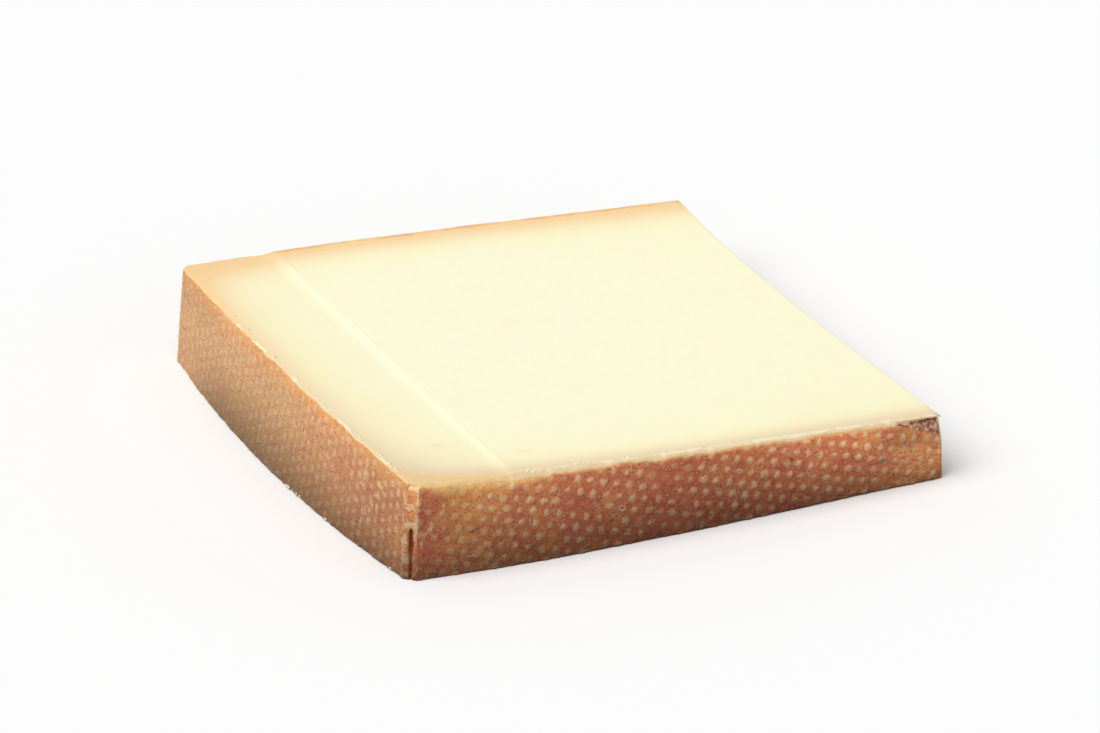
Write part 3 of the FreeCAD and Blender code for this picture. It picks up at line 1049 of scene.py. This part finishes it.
def flakes(middles, turns, seed):
    """Closed lumpy flakes, one at each middle: balls pushed in and out by grain and pressed flat.

    A ball is a grid of rings between two poles; each flake has its own size, lumps and turn.
    """
    draws = np.random.default_rng(seed)
    rings, around = CRUMB_GRID
    lift = np.linspace(0, math.pi, rings + 2)[1:-1, None]
    turn = np.linspace(0, 2 * math.pi, around, endpoint=False)[None, :]
    ball = np.stack(
        [np.sin(lift) * np.cos(turn), np.sin(lift) * np.sin(turn), np.cos(lift) + 0 * turn], axis=-1
    ).reshape(-1, 3)
    ball = np.concatenate([ball, [[0, 0, 1], [0, 0, -1]]])
    count = len(middles)
    sizes = np.array(CRUMB_SIZE) * draws.uniform(*CRUMB_SIZES, (count, 3))
    lumps = 1 + CRUMB_LUMPS * grain(ball + draws.uniform(0, 90, (count, 1, 3)), 0.8, seed)
    shape = ball * lumps[..., None] * sizes[:, None]
    angle = turns + draws.uniform(-CRUMB_TURN, CRUMB_TURN, count)
    cos, sin = np.cos(angle)[:, None], np.sin(angle)[:, None]
    x, y, z = np.moveaxis(shape, -1, 0)
    points = np.stack([x * cos - y * sin, x * sin + y * cos, z], axis=-1) + middles[:, None]
    number = np.arange(rings * around).reshape(rings, around)
    beside = np.roll(number, -1, axis=1)
    quads = np.stack([number[1:], beside[1:], beside[:-1], number[:-1]], axis=-1).reshape(-1, 4)
    north = np.stack([0 * number[0] + rings * around, number[0], beside[0]], axis=-1)
    south = np.stack([0 * number[0] + rings * around + 1, beside[-1], number[-1]], axis=-1)
    step = np.arange(count)[:, None, None] * len(ball)
    quads = (quads[None] + step).reshape(-1, 4)
    caps = (np.concatenate([north, south])[None] + step).reshape(-1, 3)
    return points.reshape(-1, 3), quads.tolist() + caps.tolist()


def crumb_places(form):
    """Middle and turn of every crumb: in along the upper edges, and at the heel's foot."""
    heel, foot, front = (np.array(p) for p in (HEEL_CRUMBS, FOOT_CRUMBS, FRONT_CRUMBS))
    shoulder = form.shoulder
    above = [form.heel_x(heel, shoulder) + CRUMB_INSET[0], heel]
    below = [form.heel_x(foot, 0.3) + FOOT_PLACE[0], foot]
    crest = [front, form.front_y(front, shoulder) + CRUMB_INSET[1]]
    middles = [
        np.stack([*above, form.top_z(*above) + 0.02], axis=1),
        np.stack([*below, FOOT_PLACE[1] + 0 * foot], axis=1),
        np.stack([*crest, form.top_z(*crest) + 0.01], axis=1),
    ]
    turns = np.concatenate([0 * heel + math.pi / 2, 0 * foot + math.pi / 2, 0 * front])
    middles = np.repeat(np.concatenate(middles), CRUMBS_TOGETHER, axis=0)
    turns = np.repeat(turns, CRUMBS_TOGETHER)
    strewn = np.random.default_rng(5).normal(0, 1, (len(turns), 2)) * CRUMB_STREW
    cos, sin = np.cos(turns), np.sin(turns)
    middles[:, 0] += strewn[:, 0] * cos - strewn[:, 1] * sin
    middles[:, 1] += strewn[:, 0] * sin + strewn[:, 1] * cos
    return middles, turns


# ---------------------------------------------------------------------------------------------
# Materials


class Wire:
    """One output of a node; a sum on wires and numbers adds its Math nodes."""

    def __init__(self, nodes, socket):
        self.nodes, self.socket = nodes, socket

    def maths(self, operation, first, second=0.0):
        values = {"Value": first, "Value_001": second}
        return self.nodes.add("Math", {"operation": operation}, values)

    def __add__(self, other):
        return self.maths("ADD", self, other)

    def __sub__(self, other):
        return self.maths("SUBTRACT", self, other)

    def __rsub__(self, other):
        return self.maths("SUBTRACT", other, self)

    def __mul__(self, other):
        return self.maths("MULTIPLY", self, other)

    __radd__ = __add__
    __rmul__ = __mul__


class Nodes:
    """A node tree, with the few kinds of node that the cheese is made from and its colours."""

    def __init__(self, tree, colours=None):
        self.tree, self.colours = tree, colours
        tree.nodes.clear()

    def add(self, kind, settings=None, values=None, output=None):
        """A node of a kind, its settings put in first, then its values and links by socket."""
        node = self.tree.nodes.new("ShaderNode" + kind)
        for key, value in (settings or {}).items():
            setattr(node, key, value)
        for key, value in (values or {}).items():
            socket = next(s for s in node.inputs if s.identifier == key)
            if isinstance(value, Wire):
                self.tree.links.new(value.socket, socket)
            else:
                socket.default_value = value
        outputs = [s for s in node.outputs if s.enabled and output in (None, s.identifier)]
        return Wire(self, outputs[0]) if outputs else None

    def attribute(self, name):
        return self.add("Attribute", {"attribute_name": name}, output="Fac")

    def noise(self, size, seed, detail=2.0, stretch=None):
        """Noise from 0 to 1 in lumps of this size in millimetres, read from Object coordinates."""
        place = self.add("TexCoord", output="Object")
        if stretch:
            values = {"Vector": place, "Scale": stretch}
            place = self.add("Mapping", {"vector_type": "TEXTURE"}, values)
        values = {"Vector": place, "W": float(seed), "Scale": 1 / (size * MM), "Detail": detail}
        return self.add("TexNoise", {"noise_dimensions": "4D"}, values, "Fac")

    def ramp(self, value, low, high, shape="LINEAR"):
        """0 up to low and 1 from high on, straight between them."""
        settings = {"interpolation_type": shape, "clamp": True}
        return self.add("MapRange", settings, {"Value": value, "From Min": low, "From Max": high})

    def rise(self, value, low, high):
        """0 up to low and 1 from high on, with a smooth rise between them."""
        return self.ramp(value, low, high, "SMOOTHSTEP")

    def blend(self, first, second, share, way="MIX"):
        """The first colour turned to the second by a share, or multiplied by it."""
        settings = {"data_type": "RGBA", "clamp_factor": True, "blend_type": way}
        values = {"Factor_Float": share, "A_Color": first, "B_Color": second}
        return self.add("Mix", settings, values, "Result_Color")

    def paint(self, name):
        """One of the cheese's own colours, with full alpha."""
        return (*getattr(self.colours, name), 1.0)

    def over(self, under, name, share):
        """A colour turned to one of the cheese's own by a share."""
        return self.blend(under, self.paint(name), share)

    def bump(self, height, distance):
        """The normal bent by a height; the distance is in millimetres."""
        values = {"Height": height, "Distance": distance * MM, "Strength": 1.0}
        return self.add("Bump", {}, values, "Normal")


def scattered(weight, radius, reach):
    """Light that sinks in: how much, how far each of its colours goes, and that in millimetres."""
    return {
        "Subsurface Weight": weight,
        "Subsurface Radius": radius,
        "Subsurface Scale": reach * MM,
    }


def paste_shader(nodes):
    """Moist pressed paste: ivory in the middle, tan towards the rind, with the knife's drag."""
    shade = nodes.attribute("shade") + 0.10 * (nodes.noise(9, 1.0, 3) - 0.5)
    crust = nodes.over(nodes.paint("crust"), "crust_back", nodes.attribute("backward"))
    paste = nodes.over(nodes.paint("heart"), "ivory", nodes.ramp(shade, 0.0, 0.25))
    paste = nodes.over(paste, "cream", nodes.ramp(shade, 0.25, 0.5))
    paste = nodes.blend(paste, crust, nodes.ramp(shade, 0.5, 1.1))
    amber = 0.75 * nodes.ramp(shade, 1.1, 1.8) * (1 - 0.6 * nodes.attribute("backward"))
    paste = nodes.over(paste, "amber", amber)
    paste = nodes.over(paste, "cream", 0.16 * nodes.rise(nodes.noise(0.9, 2.0, 3), 0.35, 0.75))
    wavering = nodes.noise(1.3, 3.0, 3) - 0.5
    lip = nodes.rise(nodes.attribute("skin"), -0.5, 0.0)
    toast = nodes.rise(nodes.attribute("toast") + lip + 0.5 * wavering, 0.25, 0.8)
    paste = nodes.over(paste, "toast", 0.6 * toast)
    crushed = nodes.rise(nodes.attribute("pale") + 0.7 * wavering, 0.3, 0.75)
    paste = nodes.over(paste, "pale", 0.62 * crushed)
    line = nodes.attribute("stroke") + 0.3 * (nodes.noise(12, 7.0, 2) - 0.5)
    groove = nodes.rise(line, -0.2, -0.02) * nodes.rise(-1.0 * line, -0.28, -0.06)
    paste = nodes.over(paste, "crust", 0.3 * groove)
    drag, fine = nodes.noise(1.0, 4.0, 3, stretch=(16, 1.2, 1)), nodes.noise(0.5, 5.0, 3)
    normal = nodes.bump(0.5 * drag + 0.5 * fine + 0.6 * crushed * fine - 0.4 * groove, 0.055)
    values = {
        "Base Color": paste,
        "Roughness": 0.42 + 0.16 * nodes.noise(3.0, 6.0, 2) + 0.15 * crushed,
        "Normal": normal,
        "Specular IOR Level": 0.35,
    }
    return nodes.add("BsdfPrincipled", {}, values | scattered(0.35, (1.0, 0.62, 0.28), 2.2), "BSDF")


def rind_shader(nodes):
    """Smeared, dry-brushed skin: brick to ochre between pale nubs, with crusts, pits and cracks."""
    lumpy, gritty = nodes.noise(2.4, 11.0, 4), nodes.noise(0.6, 12.0, 3)
    dusty, flecked = nodes.noise(0.3, 13.0), nodes.noise(1.1, 16.0)
    rust = nodes.attribute("rust") + 2.2 * (lumpy - 0.5) + 2.6 * (gritty - 0.5)
    rust = rust + 3.4 * (flecked - 0.5)
    skin = nodes.over(nodes.paint("rind"), "brick", nodes.rise(rust, 0.0, 0.9))
    skin = nodes.blend(nodes.paint("ochre"), skin, nodes.rise(rust, -0.9, -0.05))
    tan = nodes.over(nodes.paint("tan"), "ochre", 0.45 * nodes.rise(lumpy, 0.45, 0.75))
    tan = nodes.over(tan, "rind", 0.3 * nodes.rise(flecked, 0.42, 0.62))
    skin = nodes.blend(skin, tan, nodes.attribute("tanned"))
    grains = nodes.rise(0.5 * gritty + 0.5 * flecked, 0.52, 0.64)
    skin = nodes.over(skin, "bloom", 0.46 * grains)
    pores = nodes.rise(0.6 * dusty + 0.4 * gritty, 0.49, 0.36)
    skin = nodes.over(skin, "crack", 0.5 * pores)

    stain = nodes.rise(nodes.attribute("stain") + 0.5 * (lumpy - 0.5), 0.0, 1.0)
    skin = nodes.over(skin, "amber", 0.8 * stain)
    edge = nodes.attribute("nub") + 0.5 * (gritty - 0.5) + 0.35 * (flecked - 0.5)
    nub = nodes.rise(edge, -0.22, 0.55) * nodes.attribute("nub_strength")
    skin = nodes.over(skin, "nub", 0.9 * nub * (1 - 0.35 * pores))

    crumbly = nodes.rise(nodes.noise(0.8, 15.0, 3), 0.4, 0.68)
    inside = nodes.over(nodes.paint("hollow"), "chalk", crumbly)
    skin = nodes.blend(skin, inside, 0.85 * nodes.attribute("hole"))
    cream = nodes.rise(nodes.attribute("cream") + 1.4 * (gritty - 0.5), 0.2, 0.85)
    skin = nodes.over(skin, "bloom", 0.75 * cream)
    crack = nodes.rise(nodes.attribute("crack") + 0.5 * (gritty - 0.5), 0.15, 0.7)
    skin = nodes.over(skin, "crack", 0.85 * crack)
    # The foot share multiplies the skin's colour: painted shade towards its foot, painted light
    # near its top and by the nose.
    foot = nodes.attribute("foot")
    painted_light_and_shade = nodes.add("CombineColor", {}, {"Red": foot, "Green": foot, "Blue": foot}, "Color")
    skin = nodes.blend(skin, painted_light_and_shade, 1.0, "MULTIPLY")
    # Pits, specks and crusts darkened, with painted shadow under the pocket's lip.
    dark = nodes.rise(nodes.attribute("dark") + 0.3 * (gritty - 0.5), 0.2, 0.75)
    skin = nodes.over(skin, "mark", 0.85 * dark)

    height = 0.7 * gritty + 0.35 * dusty + 0.25 * grains - 0.3 * pores + 0.5 * lumpy
    values = {
        "Base Color": skin,
        "Roughness": 0.72 - 0.14 * nub + 0.2 * (lumpy - 0.5),
        "Normal": nodes.bump(height, 0.2),
        "Specular IOR Level": 0.3,
    }
    return nodes.add("BsdfPrincipled", {}, values | scattered(0.08, (1.0, 0.5, 0.3), 1.2), "BSDF")


def new_material(name, colours=None):
    """An empty material and its nodes."""
    material = bpy.data.materials.new(name)
    material.use_nodes = True
    return material, Nodes(material.node_tree, colours)


def cheese_material(colours):
    """Paste and rind in one material, parted along the torn line that the mesh carries."""
    material, nodes = new_material("gruyere_paste_and_rind", colours)
    ragged = nodes.attribute("skin") + 0.7 * (nodes.noise(0.7, 21.0, 3) - 0.5)
    parts = {
        "Fac": nodes.rise(ragged, -0.05, 0.09),
        "Shader": paste_shader(nodes),
        "Shader_001": rind_shader(nodes),
    }
    nodes.add("OutputMaterial", {}, {"Surface": nodes.add("MixShader", {}, parts)})
    return material


def crumb_material(colours):
    """Dry crumbs of paste, whiter on their rough side."""
    material, nodes = new_material("gruyere_crumbs", colours)
    gritty = nodes.noise(0.5, 31.0, 3)
    values = {
        "Base Color": nodes.over(nodes.paint("crust"), "cream", nodes.rise(gritty, 0.3, 0.6)),
        "Roughness": 0.55 + 0.2 * gritty,
        "Normal": nodes.bump(gritty, 0.08),
    }
    values |= scattered(0.25, (1.0, 0.6, 0.3), 0.8)
    nodes.add("OutputMaterial", {}, {"Surface": nodes.add("BsdfPrincipled", {}, values, "BSDF")})
    return material


# ---------------------------------------------------------------------------------------------
# The stage

CAMERA_PLACE = (-0.51192, -1.07894, 0.54526)
CAMERA_YAW = math.radians(64.553)
CAMERA_PITCH = math.radians(24.109)
CAMERA_ROLL = math.radians(0.581)
CAMERA_LENS = 224.74
LIGHT_FROM = (-0.58, -0.12, 0.80)
LAMP_SPREAD = math.radians(50)
DULL_MIDDLE = (0.0007, -0.0098, 0.0)
DULL_EDGE = 0.002
FLOOR_RADIUS = 3
FLOOR_DROP = 0.00005           # the floor lies this far below the slice
FLOOR_SIDES = 96


def camera_turn(yaw, pitch, roll):
    """The turn of a camera that looks along its yaw and down by its pitch, rolled on its sight."""
    level = math.cos(pitch)
    ahead = Vector((math.cos(yaw) * level, math.sin(yaw) * level, -math.sin(pitch)))
    right = ahead.cross(Vector((0, 0, 1))).normalized()
    up = right.cross(ahead)
    side = math.cos(roll) * right + math.sin(roll) * up
    rise = math.cos(roll) * up - math.sin(roll) * right
    return Matrix((side, rise, -ahead)).transposed().to_4x4()


def seen_directly(nodes):
    """1 for a ray that the camera or a mirror image sees, 0 for light on its way round."""
    camera = nodes.add("LightPath", output="Is Camera Ray")
    return camera.maths("MAXIMUM", camera, nodes.add("LightPath", output="Is Glossy Ray"))


def make_floor(stage):
    """A round pale floor; light that bounces off its middle finds it as dull as a slate board."""
    turn = np.linspace(0, 2 * math.pi, FLOOR_SIDES, endpoint=False)
    round_line = FLOOR_RADIUS * np.cos(turn), FLOOR_RADIUS * np.sin(turn), 0 * turn - FLOOR_DROP
    material, nodes = new_material("floor")
    pale, dull = (*([stage.floor_white] * 3), 1.0), (*([stage.floor_bounce] * 3), 1.0)
    away = {"Vector": nodes.add("TexCoord", output="Object"), "Vector_001": DULL_MIDDLE}
    away = nodes.add("VectorMath", {"operation": "DISTANCE"}, away, "Value")
    beyond = nodes.rise(away, stage.dull_reach - DULL_EDGE, stage.dull_reach + DULL_EDGE)
    beyond = beyond.maths("MAXIMUM", beyond, seen_directly(nodes))
    values = {"Base Color": nodes.blend(dull, pale, beyond), "Roughness": 1.0}
    values["Specular IOR Level"] = 0.0
    nodes.add("OutputMaterial", {}, {"Surface": nodes.add("BsdfPrincipled", {}, values, "BSDF")})
    floor = new_object("floor", np.stack(round_line, axis=1), [list(range(FLOOR_SIDES))], material)


def make_light(stage):
    """One broad soft lamp high on the heel's side, and an even pale sky."""
    lamp = bpy.data.lights.new("studio_lamp", "SUN")
    lamp.energy, lamp.angle = stage.lamp_level * math.pi, LAMP_SPREAD
    holder = bpy.data.objects.new("studio_lamp", lamp)
    holder.rotation_euler = Vector(LIGHT_FROM).to_track_quat("Z", "Y").to_euler()
    bpy.context.scene.collection.objects.link(holder)
    world = bpy.data.worlds.new("studio")
    world.use_nodes = True
    bpy.context.scene.world = world
    nodes = Nodes(world.node_tree)
    strength = stage.sky_level + (1 - stage.sky_level) * seen_directly(nodes)
    sky = nodes.add("Background", {}, {"Color": (1, 1, 1, 1), "Strength": strength}, "Background")
    nodes.add("OutputWorld", {}, {"Surface": sky})


def make_camera():
    """The camera at the viewing angle, kept without shift or blur."""
    camera = bpy.data.cameras.new("camera")
    camera.lens, camera.sensor_width = CAMERA_LENS, 36
    camera.clip_start, camera.clip_end = 0.01, 50
    holder = bpy.data.objects.new("camera", camera)
    turn = camera_turn(CAMERA_YAW, CAMERA_PITCH, CAMERA_ROLL)
    holder.matrix_world = Matrix.Translation(CAMERA_PLACE) @ turn
    bpy.context.scene.collection.objects.link(holder)
    bpy.context.scene.camera = holder


class CheeseStage(bpy.types.PropertyGroup):
    """Levels of the light and the floor, where 1 is white."""

    lamp_level: number(0.72, "Lamp", "Light of the studio lamp", min=0)
    sky_level: number(0.45, "Sky", "Even light from all round", min=0)
    floor_white: number(0.95, "Floor", "How pale the floor is", min=0)
    floor_bounce: number(0.05, "Dull middle", "How pale its middle is to bounced light", min=0)
    dull_reach: length(77, "Dull reach", "Radius of the dull middle")


# ---------------------------------------------------------------------------------------------
# Operators, panel and start


class CHEESE_OT_slice(bpy.types.Operator):
    """Build the slice: its cut faces, torn edges, bites and dotted rind"""

    bl_idname = "cheese.build_slice"
    bl_label = "Slice"

    def execute(self, context):
        scene = context.scene
        form, rind = CutForm(scene.cheese_form), Cut(scene.cheese_rind)
        surface, outwards, quads, triangles = slice_surface(form, rind)
        points = surface.points + surface.normals * surface.relief()[:, None]
        points = surface.bite(points + surface.edge_shift(outwards))
        points[:, 2] = np.maximum(points[:, 2], 0)
        points = (points + shift_to_frame(form)) * MM
        faces = quads.tolist() + triangles.tolist()
        material = cheese_material(scene.cheese_colours)
        piece = make_piece("gruyere_slice_skin", points, faces, material, surface.carried())
        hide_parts(NODE)
        return {"FINISHED"}


class CHEESE_OT_crumbs(bpy.types.Operator):
    """Scatter the crumbs that the knife left along the edges"""

    bl_idname = "cheese.build_crumbs"
    bl_label = "Crumbs"

    def execute(self, context):
        form = CutForm(context.scene.cheese_form)
        middles, turns = crumb_places(form)
        points, faces = flakes(middles, turns, 7)
        points = (points + shift_to_frame(form)) * MM
        points[:, 2] = np.maximum(points[:, 2], 0)
        material = crumb_material(context.scene.cheese_colours)
        make_piece("gruyere_crumbs", points, faces, material)
        return {"FINISHED"}


class CHEESE_OT_stage(bpy.types.Operator):
    """Set the floor, the studio light and the camera"""

    bl_idname = "cheese.build_stage"
    bl_label = "Stage"

    def execute(self, context):
        make_floor(context.scene.cheese_stage)
        make_light(context.scene.cheese_stage)
        make_camera()
        context.scene.view_settings.view_transform = "Standard"
        return {"FINISHED"}


class CHEESE_PT_panel(bpy.types.Panel):
    """Sizes and colours of the slice, with a button for each thing it builds"""

    bl_idname = "CHEESE_PT_panel"
    bl_label = "Gruyere Slice"
    bl_space_type = "VIEW_3D"
    bl_region_type = "UI"
    bl_category = "Cheese"

    def draw(self, context):
        for key in GROUPS:
            group = getattr(context.scene, key)
            box = self.layout.box()
            for name in group.bl_rna.properties.keys():
                if name not in ("rna_type", "name"):
                    box.prop(group, name)
        for operator in OPERATORS:
            self.layout.operator(operator.bl_idname)


GROUPS = {
    "cheese_form": CheeseForm,
    "cheese_rind": CheeseRind,
    "cheese_colours": CheeseColours,
    "cheese_stage": CheeseStage,
}
OPERATORS = (CHEESE_OT_slice, CHEESE_OT_crumbs, CHEESE_OT_stage)


def register():
    for kind in (*GROUPS.values(), *OPERATORS, CHEESE_PT_panel):
        bpy.utils.register_class(kind)
    for key, kind in GROUPS.items():
        setattr(bpy.types.Scene, key, bpy.props.PointerProperty(type=kind))


def unregister():
    for key in GROUPS:
        delattr(bpy.types.Scene, key)
    for kind in (CHEESE_PT_panel, *OPERATORS, *GROUPS.values()):
        bpy.utils.unregister_class(kind)


def main():
    """Build everything in order."""
    register()
    bpy.ops.cheese.build_slice()
    bpy.ops.cheese.build_crumbs()
    bpy.ops.cheese.build_stage()


if __name__ == "__main__":
    main()
